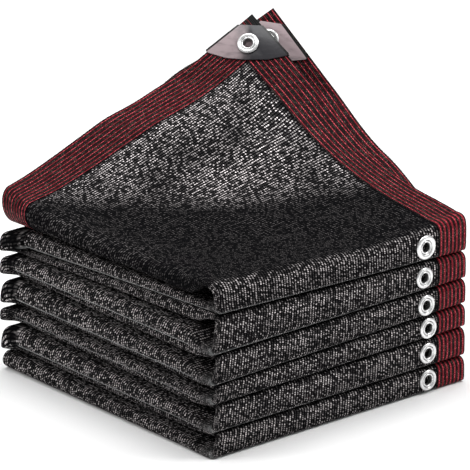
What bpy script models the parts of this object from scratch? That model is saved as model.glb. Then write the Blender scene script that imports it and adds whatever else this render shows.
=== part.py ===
"""Knitted shade cloth, folded lengthwise in two and then back and forth into a stack, with
its top corner raised. Striped tape binds the edges, eyelets sit beside it, and plastic
plates clamp the raised corners. Metres, +Z up, the origin under the middle of the stack.

The cloth is one surface in flat coordinates. 'run' goes along the length: whole numbers
are where a layer or a turn starts, so 0 to 1 is the bottom layer, 1 to 2 the first turn
and 22 to 23 the raised top layer. 'across' is the distance from the lengthwise fold,
positive on the outer ply and negative on the inner ply.
"""

import math

import bmesh
import bpy
from mathutils import Matrix, Vector

# Sizes of the cloth
CLOTH = 0.002
SIDE = 0.330
LEFT_X = -0.165
FRONT_Y = -0.165
BACK_Y = 0.165
TAPE = 0.036
BAND = 0.033
JOIN = 0.0008

# How the stack is folded
LAYERS = 12
FRONT_REACH = 0.015
BACK_REACH = 0.024
TURN_GAP = 0.0052
LEAST_GAP = 0.0032
FLOOR_GAP = 0.0005
RECESS = 0.011
EAR = 0.005
FOLD = 0.012
SQUEEZE = 0.114

# Heights of each packet's underside at the stack's corners, from the floor up
#        front  right  left   back
LEVELS = (
    (0.0000, 0.0000, 0.0000, 0.0000),
    (0.0260, 0.0270, 0.0260, 0.0265),
    (0.0550, 0.0580, 0.0585, 0.0580),
    (0.0745, 0.0830, 0.0750, 0.0790),
    (0.1055, 0.1095, 0.1080, 0.1090),
    (0.1470, 0.1385, 0.1290, 0.1340),
)
# Share of a packet's height that its lower and upper layers fill, at the front and the back
LOWER_SHARE = (0.44, 0.72)
UPPER_SHARE = (0.45, 0.22)
TOP_PACKET_LAYER = (0.0078, 0.0195)

# A turn's section, as shares of its half height and of its reach
#        rise    reach
TURN = (
    (-1.00, 0.00),
    (-0.98, 0.55),
    (-0.92, 0.88),
    (-0.78, 1.00),
    (0.56, 1.00),
    (0.80, 0.87),
    (0.94, 0.55),
    (1.00, 0.00),
)

# The raised top sheet: it curves up along the diagonal from the front corner
CREST = 0.1755
SLOPE = math.radians(38.75)
RISE_FROM = 0.125
RISE_TO = 0.300
ROLL_LIFT = 0.006
ROLL_LENGTH = 0.080
LEFT_DROP = 0.0022
RIGHT_DROP = 0.0120
LEAN = -0.1083
SAG = 0.0207
LEFT_WAVE = -0.0056
RIGHT_WAVE = 0.0132
LEFT_ROLL_FOOT = (0.1570, 0.1530)
LEFT_ROLL_REACH = 0.013
LEFT_ROLL_LEAN = 0.006
CORNER_GAP = 0.015
REAR_ALONG = 0.010
REAR_ASIDE = 0.020

# The raised corners: the tip, and where the edges have got to CORNER_SPAN away from it
CORNER_SPAN = 0.059
FLAT_CORNER = 0.072
OUTER_CORNER = ((0.1409, 0.1355, 0.3210), (-0.0470, 0.0134, -0.0330), (0.0035, -0.0497, -0.0316))
INNER_CORNER = ((0.1663, 0.1318, 0.3236), (-0.0464, 0.0196, -0.0308), (0.0118, -0.0401, -0.0416))

# Eyelets, from the floor up: distance from the lengthwise fold, height and radius
EYELETS = (
    (0.2800, 0.0142, 0.0108),
    (0.2795, 0.0430, 0.0108),
    (0.2795, 0.0695, 0.0108),
    (0.2765, 0.0945, 0.0108),
    (0.2735, 0.1242, 0.0108),
    (0.2750, 0.1560, 0.0124),
)
CORNER_EYELET_RADIUS = 0.0112
HOLE_RADIUS = 0.0050
BARREL = 0.0008
CURL = 0.0014
FLANGE = 0.0013
EYELET_SIDES = 20

# Plates at the raised corners
PLATE = 0.0013
PLATE_TOP = 0.0115
PLATE_SHOULDER = 0.0415
PLATE_FOOT = 0.0505
PLATE_DROPS = {"outer": 0.0015, "inner": 0.0040}
CORNER_EYELET_DROP = 0.034
PLATE_EDGE = 0.002

FRONT_CORNER = Vector((LEFT_X, FRONT_Y, 0.0))
ALONG = Vector((1.0, 1.0, 0.0)).normalized()
ASIDE = Vector((1.0, -1.0, 0.0)).normalized()
UP = Vector((0.0, 0.0, 1.0))
START = FRONT_REACH
HALF_DIAGONAL = SIDE / math.sqrt(2)
DIAGONAL_STEPS = 240
TOP_LAYER = 2.0 * (LAYERS - 1)
TOP_TAPE = 1.0 - TAPE / (SIDE - START)


def ease(value):
    value = min(1.0, max(0.0, value))
    return value * value * (3.0 - 2.0 * value)


def mix(a, b, share):
    return a + (b - a) * share


# Forms of the stack


def to_back(y):
    return (y - FRONT_Y) / (BACK_Y - FRONT_Y)


def level(packet, x, y):
    """Height of the underside of a packet above a point of the floor."""
    front, right, left, back = LEVELS[packet]
    to_right = (x - LEFT_X) / SIDE
    return mix(mix(front, right, to_right), mix(left, back, to_right), to_back(y))


def layer_limits(layer, x, y):
    """Lowest and highest surface of a layer where it lies flat. Layers count from 0."""
    packet, upper = divmod(layer, 2)
    floor = level(packet, x, y) + FLOOR_GAP * (packet > 0)
    if layer == LAYERS - 2:
        return floor, floor + mix(*TOP_PACKET_LAYER, to_back(y))
    roof = level(packet + 1, x, y) - FLOOR_GAP
    thick = max(LEAST_GAP + CLOTH, mix(*UPPER_SHARE, to_back(y)) * (roof - floor))
    if upper:
        return roof - thick, roof
    high = floor + mix(*LOWER_SHARE, to_back(y)) * (roof - floor)
    return floor, min(high, roof - thick - FLOOR_GAP)


def flat_layer(layer, share, x):
    """Place of a flat layer's middle and half the distance between its plies."""
    ends = (BACK_Y - BACK_REACH if layer else BACK_Y, FRONT_Y + FRONT_REACH)
    first, last = reversed(ends) if layer % 2 else ends
    y = mix(first, last, share)
    low, high = layer_limits(layer, x, y)
    slack = high - low - TURN_GAP - CLOTH
    # at the front a layer hangs from the turn it comes out of and rests on the one it goes into
    if layer % 2:
        low += slack * ease(1.0 - share / SQUEEZE)
    else:
        high -= slack * ease(1.0 - (1.0 - share) / SQUEEZE)
    return y, (low + high) / 2, (high - low - CLOTH) / 2


def turn_limits(turn, x):
    """Lowest and highest surface of a turn, and the gap between its plies at both ends."""
    if turn % 2:
        y = BACK_Y - BACK_REACH
        low, lower_top = layer_limits(turn, x, y)
        upper_foot, high = layer_limits(turn + 1, x, y)
        return low, high, lower_top - low - CLOTH, high - upper_foot - CLOTH
    y = FRONT_Y + FRONT_REACH
    low = layer_limits(turn, x, y)[0]
    if turn == LAYERS - 2:
        high = top_height(x - LEFT_X, START) + CLOTH / 2
    else:
        high = layer_limits(turn + 1, x, y)[1]
    return low, high, TURN_GAP, TURN_GAP


def turn_row(share):
    spot = share * (len(TURN) - 1)
    row = min(len(TURN) - 2, int(spot))
    return [mix(TURN[row][i], TURN[row + 1][i], spot - row) for i in (0, 1)]


def turn_point(turn, share, x, outward):
    """A point of a turn. outward runs from -1 on the ply inside the turn to 1 outside."""
    rise, reach = turn_row(share)
    low, high, low_gap, high_gap = turn_limits(turn, x)
    up = (rise + 1.0) / 2
    low += CLOTH / 2
    high -= CLOTH / 2
    outside = (outward + 1.0) / 2
    z = mix(mix(low + low_gap, high - high_gap, up), mix(low, high, up), outside)
    out = (BACK_REACH if turn % 2 else FRONT_REACH) - CLOTH / 2
    out -= mix(low_gap, high_gap, up) * (1.0 - outside)
    if turn % 2:
        return Vector((x, BACK_Y - BACK_REACH + out * reach, z))
    return Vector((x, FRONT_Y + FRONT_REACH - out * reach, z))


# Forms of the raised top sheet


def diagonal_table():
    """Distance covered and height gained at equal steps along the diagonal."""
    step = 2 * SIDE * math.sqrt(2) / DIAGONAL_STEPS
    rows = [(0.0, 0.0)]
    for i in range(DIAGONAL_STEPS):
        angle = SLOPE * ease(((i + 0.5) * step - RISE_FROM) / (RISE_TO - RISE_FROM))
        rows.append((rows[-1][0] + step * math.cos(angle), rows[-1][1] + step * math.sin(angle)))
    return step, rows


DIAGONAL = diagonal_table()


def diagonal_at(distance):
    step, rows = DIAGONAL
    spot = max(0.0, distance / step)
    row = min(len(rows) - 2, int(spot))
    return [mix(rows[row][i], rows[row + 1][i], spot - row) for i in (0, 1)]


def top_height(across, along):
    """Height of the top sheet's outer ply."""
    distance = (across + along) / math.sqrt(2)
    aside = (across - along) / math.sqrt(2)
    gained = diagonal_at(distance)[1]
    climbed = math.pi * min(1.0, max(0.0, (distance - 0.2) / (2 * HALF_DIAGONAL - 0.2)))
    hang = (LEAN * aside - SAG) * math.sin(climbed)
    drop, wave = (RIGHT_DROP, RIGHT_WAVE) if aside > 0 else (LEFT_DROP, LEFT_WAVE)
    sideways = abs(aside) / HALF_DIAGONAL
    hang += (wave * math.sin(2 * climbed) - drop) * sideways
    lift = ROLL_LIFT * (1.0 - ease((along - START) / ROLL_LENGTH)) * (1.0 - across / SIDE)
    return CREST + gained + hang + lift


def rising_sheet(across, along):
    """The outer ply before its corner is flattened."""
    distance = (across + along) / math.sqrt(2)
    aside = (across - along) / math.sqrt(2)
    flat = FRONT_CORNER + Vector((across, along, 0.0))
    bent = FRONT_CORNER + ALONG * diagonal_at(distance)[0] + ASIDE * aside
    spot = flat.lerp(bent, ease((along - START) / 0.06))
    return spot + UP * top_height(across, along)


def flat_corner(spot, corner, across, along):
    """Lays the last part of a raised corner in one plane, so that its plates fit."""
    tip, down_left, down_right = (Vector(row) for row in corner)
    flat = tip + down_left * (SIDE - across) / CORNER_SPAN + down_right * (SIDE - along) / CORNER_SPAN
    depth = (2 * SIDE - across - along) / math.sqrt(2)
    return flat.lerp(spot, ease((depth - FLAT_CORNER) / FLAT_CORNER))


def outer_sheet(across, along):
    return flat_corner(rising_sheet(across, along), OUTER_CORNER, across, along)


def inner_sheet(across, along):
    """The ply behind: it hangs below the outer one and slips aside towards the corner."""
    spot = rising_sheet(across, along)
    near_left = 1.0 - ease(across / 0.12)
    left_roll = spot.z - CLOTH / 2 - mix(*LEFT_ROLL_FOOT, along / SIDE)
    to_corner = (across + along) / (2 * SIDE)
    gap = mix(mix(0.007, CORNER_GAP, ease(to_corner * 1.3 - 0.3)), left_roll, near_left)
    gap = mix(TURN_GAP, gap, ease((along - START) / 0.035))
    slip = (across / SIDE) * ease((along - 0.03) / 0.12)
    slide = ALONG * REAR_ALONG * math.cos(SLOPE) + UP * REAR_ALONG * math.sin(SLOPE)
    spot += (slide + ASIDE * REAR_ASIDE) * slip - UP * gap
    return flat_corner(spot, INNER_CORNER, across, along)


# One surface for the whole cloth


def left_edge(run):
    """How far the lengthwise fold is set back from the left face."""
    piece = int(min(run, TOP_LAYER))
    back = [RECESS if layer % 2 or layer == LAYERS - 2 else 0.0 for layer in range(LAYERS)]
    back[LAYERS - 1] = 0.0
    layer = piece // 2
    if piece % 2 and layer % 2:
        return back[layer] * (1.0 - ease(2.0 * (run - piece)))
    if piece % 2:
        return mix(back[layer], back[layer + 1], ease(run - piece))
    return back[layer]


def top_point(share, turned, beyond):
    along = mix(START, SIDE, share)
    roll = mix(TURN_GAP / 2, LEFT_ROLL_REACH, ease(share * 8.0))
    spot = mix(roll, SIDE, beyond)
    outer, inner = outer_sheet(spot, along), inner_sheet(spot, along)
    height = (math.sin(turned) + 1.0) / 2
    under = LEFT_ROLL_LEAN * ease(share * 4.0) * (1.0 - height) * (1.0 - beyond) ** 4
    return inner.lerp(outer, height) + Vector((under - roll * math.cos(turned), 0.0, 0.0))


def cloth_point(run, across):
    piece = int(min(run, TOP_LAYER))
    share = run - piece
    turned = math.radians(90.0) * max(-1.0, min(1.0, across / FOLD))
    beyond = max(0.0, abs(across) - FOLD) / (SIDE - FOLD)
    if piece == TOP_LAYER:
        return top_point(share, turned, beyond)
    number = piece // 2
    edge = LEFT_X + left_edge(run)
    if piece % 2:
        low_gap, high_gap = turn_limits(number, edge)[2:]
        half = mix(low_gap, high_gap, (turn_row(share)[0] + 1.0) / 2) / 2
    else:
        half = flat_layer(number, share, edge)[2]
    roll = min(half, FOLD)
    x = mix(edge + roll, LEFT_X + SIDE, beyond) - roll * math.cos(turned)
    if piece % 2 and number % 2:
        x -= EAR * math.sin(math.pi * share) * (1.0 - beyond) ** 6
    outward = math.sin(turned)
    if piece % 2:
        return turn_point(number, share, x, -outward if number % 2 else outward)
    y, middle, half = flat_layer(number, share, x)
    return Vector((x, y, middle + half * (outward if number % 2 else -outward)))


# Stations along the cloth and across it


def run_stations(first=0.0, last=TOP_LAYER + 1.0):
    to_front = (0.0, 0.3, 0.6, 1.0 - SQUEEZE, 1.0 - SQUEEZE / 2)
    from_front = (0.0, SQUEEZE / 2, SQUEEZE, 0.4, 0.7)
    front_turn = [i / (len(TURN) - 1) for i in range(len(TURN) - 1)]
    back_turn = [share for share in front_turn if share not in (front_turn[1], front_turn[-1])]
    stations = []
    for layer in range(LAYERS - 1):
        stations += [2 * layer + share for share in (from_front if layer % 2 else to_front)]
        stations += [2 * layer + 1 + share for share in (back_turn if layer % 2 else front_turn)]
    top = (0.0, 0.03, 0.07, 0.13, 0.21, 0.30, 0.40, 0.50, 0.60, 0.70, 0.79, TOP_TAPE, 1.0)
    stations += [TOP_LAYER + share for share in top]
    inside = [s for s in stations if first + 0.02 < s < last - 0.02]
    return [first, *inside, last]


def across_stations(first, last):
    fold = [FOLD * i / 3 for i in range(-3, 4)]
    flats = (0.03, 0.10, 0.18, 0.264)
    every = [-a for a in reversed(flats)] + fold + list(flats)
    inside = [a for a in every if first + 0.006 < a < last - 0.006]
    return [first, *inside, last]


def material(name, colour, roughness, metallic=0.0, alpha=1.0):
    made = bpy.data.materials.new(name)
    made.use_nodes = True
    shader = made.node_tree.nodes["Principled BSDF"]
    shader.inputs["Base Color"].default_value = (*colour, 1.0)
    shader.inputs["Roughness"].default_value = roughness
    shader.inputs["Metallic"].default_value = metallic
    shader.inputs["Alpha"].default_value = alpha
    return made


def patch(name, runs, acrosses, finish, parts):
    """A strip or panel of the folded surface, cut from a flat grid and thickened."""
    mesh = bpy.data.meshes.new(name)
    grid = bmesh.new()
    bmesh.ops.create_grid(grid, x_segments=len(runs) - 1, y_segments=len(acrosses) - 1, size=0.5)
    for vert in grid.verts:
        run = runs[round((vert.co.x + 0.5) * (len(runs) - 1))]
        across = acrosses[round((vert.co.y + 0.5) * (len(acrosses) - 1))]
        vert.co = cloth_point(run, across)
    grid.to_mesh(mesh)
    grid.free()
    mesh.materials.append(finish)
    made = bpy.data.objects.new(name, mesh)
    parts.objects.link(made)
    thicken = made.modifiers.new("thickness", "SOLIDIFY")
    thicken.thickness = CLOTH
    thicken.offset = 0.0
    return made


# Eyelets and plates


def place_on(point, across_way, normal):
    """Matrix that puts +Z along the normal and +X along the cloth."""
    normal = normal.normalized()
    side = (across_way - normal * across_way.dot(normal)).normalized()
    turned = Matrix((side, normal.cross(side), normal)).transposed().to_4x4()
    return Matrix.Translation(point) @ turned


def eyelet(name, radius, stack, place, finish, parts):
    """A turned eyelet: front flange, barrel and the rolled rim behind. stack is what it clamps."""
    back = -stack - JOIN
    profile = (
        (HOLE_RADIUS + 0.0019, back - CURL),
        (HOLE_RADIUS + 0.0019, back),
        (HOLE_RADIUS + BARREL, back),
        (HOLE_RADIUS + BARREL, JOIN),
        (radius, JOIN),
        (radius - 0.0012, FLANGE + 0.0002),
        (HOLE_RADIUS + 0.0012, FLANGE + 0.0009),
        (HOLE_RADIUS, FLANGE + 0.0004),
        (HOLE_RADIUS, back - CURL),
    )
    mesh = bpy.data.meshes.new(name)
    mesh.from_pydata(
        [(r, 0.0, z) for r, z in profile],
        [(i, (i + 1) % len(profile)) for i in range(len(profile))],
        [],
    )
    mesh.materials.append(finish)
    made = bpy.data.objects.new(name, mesh)
    made.matrix_world = place
    parts.objects.link(made)
    spin = made.modifiers.new("turned", "SCREW")
    spin.steps = spin.render_steps = EYELET_SIDES
    spin.use_merge_vertices = True
    spin.merge_threshold = 0.00001
    spin.use_normal_calculate = True
    spin.use_normal_flip = True
    return made


def cylinder(name, radius, length, place, group):
    bpy.ops.mesh.primitive_cylinder_add(vertices=EYELET_SIDES, radius=radius, depth=length)
    made = bpy.context.object
    made.name = name
    for other in list(made.users_collection):
        other.objects.unlink(made)
    group.objects.link(made)
    made.matrix_world = place
    made.hide_render = True
    made.display_type = "WIRE"
    return made


def cut(target, cutter):
    hole = target.modifiers.new("hole for " + cutter.name, "BOOLEAN")
    hole.operation = "DIFFERENCE"
    hole.solver = "EXACT"
    hole.object = cutter


def plate_outline():
    """Half of a corner plate's outline, from the top edge round to its foot."""
    top, shoulder, foot = PLATE_TOP, PLATE_SHOULDER, PLATE_FOOT
    half = [(0.0, -top), (top + PLATE_EDGE, -top), (shoulder + PLATE_EDGE, -shoulder)]
    half += [(shoulder - 0.001, -shoulder - 0.003)]
    half += [(0.022, -foot + 0.0012), (0.0, -foot)]
    return half


def plate(name, place, hole_middle, finish, parts):
    """A flat trapezium of plastic with a hole for the eyelet's barrel."""
    half = plate_outline()
    ring = half + [(-x, y) for x, y in reversed(half[1:-1])]
    flat = bpy.data.curves.new(name, "CURVE")
    flat.dimensions = "2D"
    flat.fill_mode = "BOTH"
    flat.extrude = PLATE / 2
    hole_radius = HOLE_RADIUS + BARREL + JOIN
    circle = [
        (
            hole_radius * math.cos(2 * math.pi * i / EYELET_SIDES),
            hole_middle + hole_radius * math.sin(2 * math.pi * i / EYELET_SIDES),
        )
        for i in range(EYELET_SIDES)
    ]
    for points in (ring, circle):
        spline = flat.splines.new("POLY")
        spline.points.add(len(points) - 1)
        for point, (x, y) in zip(spline.points, points):
            point.co = (x, y, 0.0, 1.0)
        spline.use_cyclic_u = True
    flat.materials.append(finish)
    made = bpy.data.objects.new(name, flat)
    made.matrix_world = place
    parts.objects.link(made)
    return made


def corner_frame(sheet):
    """Point and directions of a raised corner: its tip, the way across it and the normal."""
    tip = sheet(SIDE, SIDE)
    left = sheet(SIDE - TAPE, SIDE)
    right = sheet(SIDE, SIDE - TAPE)
    normal = (right - tip).cross(left - tip).normalized()
    if normal.z < 0:
        normal.negate()
    return tip, right - left, normal


def main():
    for old in list(bpy.data.objects):
        bpy.data.objects.remove(old)
    parts = bpy.data.collections.new("shade_cloth")
    cutters = bpy.data.collections.new("cutters")
    for group in (parts, cutters):
        bpy.context.scene.collection.children.link(group)

    knit = material("black_knit", (0.018, 0.018, 0.020), 0.55)
    tape = material("striped_tape", (0.30, 0.02, 0.03), 0.6)
    metal = material("eyelet_metal", (0.88, 0.88, 0.89), 0.28, 1.0)
    plastic = material("smoked_plastic", (0.10, 0.10, 0.11), 0.25)

    end = TOP_LAYER + 1.0
    top_cut = TOP_LAYER + TOP_TAPE
    end_join = 1.5 * JOIN / (SIDE - START)
    inner = SIDE - TAPE
    body = run_stations(0.0, top_cut - end_join)
    patch("cloth", body, across_stations(-inner + JOIN, inner - BAND - 2.5 * JOIN), knit, parts)
    band = patch("eyelet_band", body, [inner - BAND - JOIN, inner - JOIN], knit, parts)
    outer_tape = patch("edge_tape_outer", run_stations(), [inner, SIDE], tape, parts)
    inner_tape = patch("edge_tape_inner", run_stations(), [-SIDE, -inner], tape, parts)
    between = across_stations(-inner + JOIN, inner - JOIN)
    patch("end_tape", [top_cut, end], between, tape, parts)

    for number, (across, height, radius) in enumerate(EYELETS, 1):
        middle = Vector((LEFT_X + across, FRONT_Y, height))
        place = place_on(middle, Vector((1.0, 0.0, 0.0)), Vector((0.0, -1.0, 0.0)))
        name = f"eyelet_{number}"
        eyelet(name, radius, CLOTH, place, metal, parts)
        hole = cylinder("hole_" + name, HOLE_RADIUS + BARREL + JOIN, 3 * CLOTH, place, cutters)
        cut(band, hole)

    for name, sheet, strip in (
        ("outer", outer_sheet, outer_tape),
        ("inner", inner_sheet, inner_tape),
    ):
        tip, aside, normal = corner_frame(sheet)
        side = (aside - normal * aside.dot(normal)).normalized()
        upward = normal.cross(side).normalized()
        spot = tip - upward * CORNER_EYELET_DROP
        top_edge = tip - upward * PLATE_DROPS[name]
        face = place_on(top_edge, side, normal)
        hole_at = PLATE_DROPS[name] - CORNER_EYELET_DROP
        stand_off = CLOTH / 2 + JOIN + PLATE / 2
        for where, sign in (("front", 1.0), ("back", -1.0)):
            shifted = Matrix.Translation(normal * stand_off * sign) @ face
            plate(f"corner_plate_{name}_{where}", shifted, hole_at, plastic, parts)
        top = CLOTH / 2 + JOIN + PLATE
        place = place_on(spot + normal * top, side, normal)
        eyelet(f"corner_eyelet_{name}", CORNER_EYELET_RADIUS, 2 * top, place, metal, parts)
        middle = place_on(spot, side, normal)
        hole = cylinder("hole_corner_" + name, HOLE_RADIUS + BARREL + JOIN, 0.012, middle, cutters)
        cut(strip, hole)


if __name__ == "__main__":
    main()
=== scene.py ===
"""The looks of the folded shade cloth: finer cloth on the same folds as the solids, its knit,
striped tape, turned eyelets and smoked corner plates. Metres, +Z up, as in the solids.

Flat coordinates: 'run' counts layers and turns along the cloth, 'across' is the distance
from the lengthwise fold, positive on the outer ply. UV maps hold both in metres.
"""

import math

import bpy
from mathutils import Matrix, Vector


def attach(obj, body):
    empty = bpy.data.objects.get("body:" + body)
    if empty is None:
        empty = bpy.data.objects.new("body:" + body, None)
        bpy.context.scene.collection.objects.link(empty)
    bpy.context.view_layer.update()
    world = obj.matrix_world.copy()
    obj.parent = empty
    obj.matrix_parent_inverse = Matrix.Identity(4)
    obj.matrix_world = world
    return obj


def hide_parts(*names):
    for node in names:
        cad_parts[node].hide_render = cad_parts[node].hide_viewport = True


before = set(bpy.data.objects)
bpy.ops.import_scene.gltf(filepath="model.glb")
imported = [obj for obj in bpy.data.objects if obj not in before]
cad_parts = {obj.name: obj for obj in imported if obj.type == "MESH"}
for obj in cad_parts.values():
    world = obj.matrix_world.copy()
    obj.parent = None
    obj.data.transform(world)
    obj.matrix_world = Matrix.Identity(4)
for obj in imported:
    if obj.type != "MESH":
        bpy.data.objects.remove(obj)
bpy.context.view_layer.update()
bpy.ops.object.select_all(action="DESELECT")

# Fineness and thickness of the cloth's pieces
FINE_TURN = 18
FLAT_STEPS = 8
TOP_STEPS = 60
WIDE_STEPS = 40
FINE_SIDES = 48
THIN = 0.0015
THICK = 0.0021
SEAM_LAP = 0.001
FOOT_POWER = 6.5
CROWN_POWER = 3.9

# Painted highlight in light lines along the lower fold edges and turns' feet: where they run, how wide
# and how light they are
FOLD_CREASE = 0.0068
CREASE_WIDTH = 0.0015
FOOT_CREASE = 0.93
FOOT_HIGHLIGHT = 0.40
EDGE_HIGHLIGHT_COLOUR = (0.42, 0.43, 0.43, 1.0)

# Soft creases in the raised sheet
#    across  along   heading  length  width   rise
RIPPLES = (
    (0.250, 0.262, -20.0, 0.040, 0.016, 0.0012),
    (0.228, 0.234, -15.0, 0.045, 0.014, -0.0012),
    (0.245, 0.205, -40.0, 0.050, 0.018, 0.0012),
    (0.120, 0.282, 0.0, 0.060, 0.018, 0.0010),
    (0.110, 0.205, -30.0, 0.080, 0.022, -0.0014),
    (0.020, 0.180, -88.0, 0.110, 0.014, 0.0016),
    (0.055, 0.190, -80.0, 0.100, 0.016, -0.0014),
    (0.200, 0.070, -6.0, 0.090, 0.016, 0.0010),
    (0.204, 0.331, 0.0, 0.030, 0.024, 0.0042),
)
RIPPLE_EDGE = 0.02

# Painted highlight on the yarn: spots of the raised sheet where it is painted duller, and brighter ones
# where the share is below 0
#    across  along   radius  share
PAINTED_HIGHLIGHT_SPOTS = (
    (0.230, 0.237, 0.018, 0.65),
    (0.262, 0.255, 0.014, 0.50),
    (0.200, 0.235, 0.016, 0.40),
    (0.170, 0.250, 0.024, 0.55),
    (0.125, 0.235, 0.028, 0.60),
    (0.080, 0.285, 0.016, 0.45),
    (0.255, 0.150, 0.022, 0.55),
    (0.282, 0.185, 0.020, 0.40),
    (0.004, 0.235, 0.020, -1.20),
    (0.008, 0.190, 0.020, -0.80),
    (0.012, 0.140, 0.020, -0.80),
)
# The sheet's painted highlight starts at RAISED_FROM, across and along added, and grows over
# RAISED_LENGTH
RAISED_FROM = 0.285
RAISED_LENGTH = 0.085
RIGHT_FADE = 0.45
LOW_PAINTED_HIGHLIGHT = 0.085
LAYER_PAINTED_HIGHLIGHT = 0.80
# A turn's painted highlight is strongest at this height of its section, and its top edge gets painted
# shade
TURN_PAINTED_HIGHLIGHT = 0.50
CROWN_HIGHLIGHT_AT = 0.42
CROWN_SPREAD = 0.38
TOP_EDGE_AT = 0.86
TOP_EDGE_LENGTH = 0.12
TOP_EDGE_HIGHLIGHT = 0.15

# Knit: each float's pitch, length and slant, on the layers and on the turns
LAYER_FLOATS = (0.0030, 0.0025, 0.5)
TURN_FLOATS = (0.0033, 0.0019, 0.7)
KNIT_RELIEF = 0.0004
METAL_SHARE = 0.25
GROUND = (0.0035, 0.0035, 0.004, 1.0)
# near-white colour of the painted glints on the floats
GLINT = (0.95, 0.88, 0.88, 1.0)
HEM = 0.0045
HEM_SHADE = 0.75

# Tape: its lines and the dashes of its yarn, each colour in painted shade and as a painted glint on a
# float
LINES = 7
TAPE_FLOAT = 0.0024
TAPE_SLANT = 0.3
CHEQUER = 0.004
TAPE_RELIEF = 0.0005
OLIVE = ((0.003, 0.003, 0.003, 1.0), (0.115, 0.098, 0.080, 1.0))
DIM_RED = ((0.004, 0.001, 0.0012, 1.0), (0.085, 0.012, 0.016, 1.0))
BRIGHT_RED = ((0.20, 0.012, 0.020, 1.0), (0.78, 0.115, 0.145, 1.0))
TIP_BLACK = (0.012, 0.012, 0.012, 1.0)
TIP_LENGTH = 0.020
TIP_WIDTH = 0.013
TIP_EDGE = 0.004

# Looks of the plates: a pale colour of painted light coming through, a dark colour of painted shade,
# and between which points across it turns dark
FRONT_PLATE_LOOK = ((0.33, 0.265, 0.275, 1.0), (0.030, 0.029, 0.033, 1.0), -0.020, 0.003)
REAR_PLATE_LOOK = ((0.42, 0.335, 0.35, 1.0), (0.05, 0.045, 0.05, 1.0), 0.05, 0.10)

# Studio: each light's name, place, size and watts
VIEW = (-40.34, 19.4)
FAR = 5.0
LENS = 379.1
LOOK_AT = (0.03218, 0.0347, 0.13299)
SKY = 0.3
FLOOR_GREY = 0.93
LIGHTS = (
    ("overhead", (0.20, 0.25, 3.0), 2.0, 85.0),
    ("right fill", (1.5, -1.3, 2.0), 0.9, 30.0),
    ("left fill", (-1.6, 1.0, 1.5), 0.9, 16.0),
)

# Sizes of the cloth
CLOTH = 0.002
SIDE = 0.330
LEFT_X = -0.165
FRONT_Y = -0.165
BACK_Y = 0.165
TAPE = 0.036
BAND = 0.033
JOIN = 0.0008

# How the stack is folded
LAYERS = 12
FRONT_REACH = 0.015
BACK_REACH = 0.024
TURN_GAP = 0.0052
LEAST_GAP = 0.0032
FLOOR_GAP = 0.0005
RECESS = 0.011
EAR = 0.005
FOLD = 0.012
SQUEEZE = 0.114

# Heights of each packet's underside at the stack's corners, from the floor up
#        front  right  left   back
LEVELS = (
    (0.0000, 0.0000, 0.0000, 0.0000),
    (0.0260, 0.0270, 0.0260, 0.0265),
    (0.0550, 0.0580, 0.0585, 0.0580),
    (0.0745, 0.0830, 0.0750, 0.0790),
    (0.1055, 0.1095, 0.1080, 0.1090),
    (0.1470, 0.1385, 0.1290, 0.1340),
)
# Share of a packet's height that its lower and upper layers fill, at the front and the back
LOWER_SHARE = (0.44, 0.72)
UPPER_SHARE = (0.45, 0.22)
TOP_PACKET_LAYER = (0.0078, 0.0195)

# The raised top sheet: it curves up along the diagonal from the front corner
CREST = 0.1755
SLOPE = math.radians(38.75)
RISE_FROM = 0.125
RISE_TO = 0.300
ROLL_LIFT = 0.006
ROLL_LENGTH = 0.080
LEFT_DROP = 0.0022
RIGHT_DROP = 0.0120
LEAN = -0.1083
SAG = 0.0207
LEFT_WAVE = -0.0056
RIGHT_WAVE = 0.0132
LEFT_ROLL_FOOT = (0.1570, 0.1530)
LEFT_ROLL_REACH = 0.013
LEFT_ROLL_LEAN = 0.006
CORNER_GAP = 0.015
REAR_ALONG = 0.010
REAR_ASIDE = 0.020

# The raised corners: the tip, and where the edges have got to CORNER_SPAN away from it
CORNER_SPAN = 0.059
FLAT_CORNER = 0.072
OUTER_CORNER = ((0.1409, 0.1355, 0.3210), (-0.0470, 0.0134, -0.0330), (0.0035, -0.0497, -0.0316))
INNER_CORNER = ((0.1663, 0.1318, 0.3236), (-0.0464, 0.0196, -0.0308), (0.0118, -0.0401, -0.0416))

# Eyelets, from the floor up: distance from the lengthwise fold, height and radius
EYELETS = (
    (0.2800, 0.0142, 0.0108),
    (0.2795, 0.0430, 0.0108),
    (0.2795, 0.0695, 0.0108),
    (0.2765, 0.0945, 0.0108),
    (0.2735, 0.1242, 0.0108),
    (0.2750, 0.1560, 0.0124),
)
CORNER_EYELET_RADIUS = 0.0112
HOLE_RADIUS = 0.0050
BARREL = 0.0008
CURL = 0.0014
GROOVE_OUT = 0.0022
GROOVE_FLOOR = 0.0004
# strength of the painted shade down the inside of the eyelet's hole
BARREL_SHADE = 0.6

# Plates at the raised corners
PLATE = 0.0013
PLATE_TOP = 0.0115
PLATE_SHOULDER = 0.0415
PLATE_FOOT = 0.0505
PLATE_DROPS = {"outer": 0.0015, "inner": 0.0040}
CORNER_EYELET_DROP = 0.034
PLATE_EDGE = 0.002
RIM_WIDTH = 0.0027

FRONT_CORNER = Vector((LEFT_X, FRONT_Y, 0.0))
ALONG = Vector((1.0, 1.0, 0.0)).normalized()
ASIDE = Vector((1.0, -1.0, 0.0)).normalized()
UP = Vector((0.0, 0.0, 1.0))
START = FRONT_REACH
HALF_DIAGONAL = SIDE / math.sqrt(2)
DIAGONAL_STEPS = 240
TOP_LAYER = 2.0 * (LAYERS - 1)
TOP_TAPE = 1.0 - TAPE / (SIDE - START)


def ease(value):
    value = min(1.0, max(0.0, value))
    return value * value * (3.0 - 2.0 * value)


def mix(a, b, share):
    return a + (b - a) * share


# Forms of the stack


def to_back(y):
    return (y - FRONT_Y) / (BACK_Y - FRONT_Y)


def level(packet, x, y):
    """Height of the underside of a packet above a point of the floor."""
    front, right, left, back = LEVELS[packet]
    to_right = (x - LEFT_X) / SIDE
    return mix(mix(front, right, to_right), mix(left, back, to_right), to_back(y))


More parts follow.
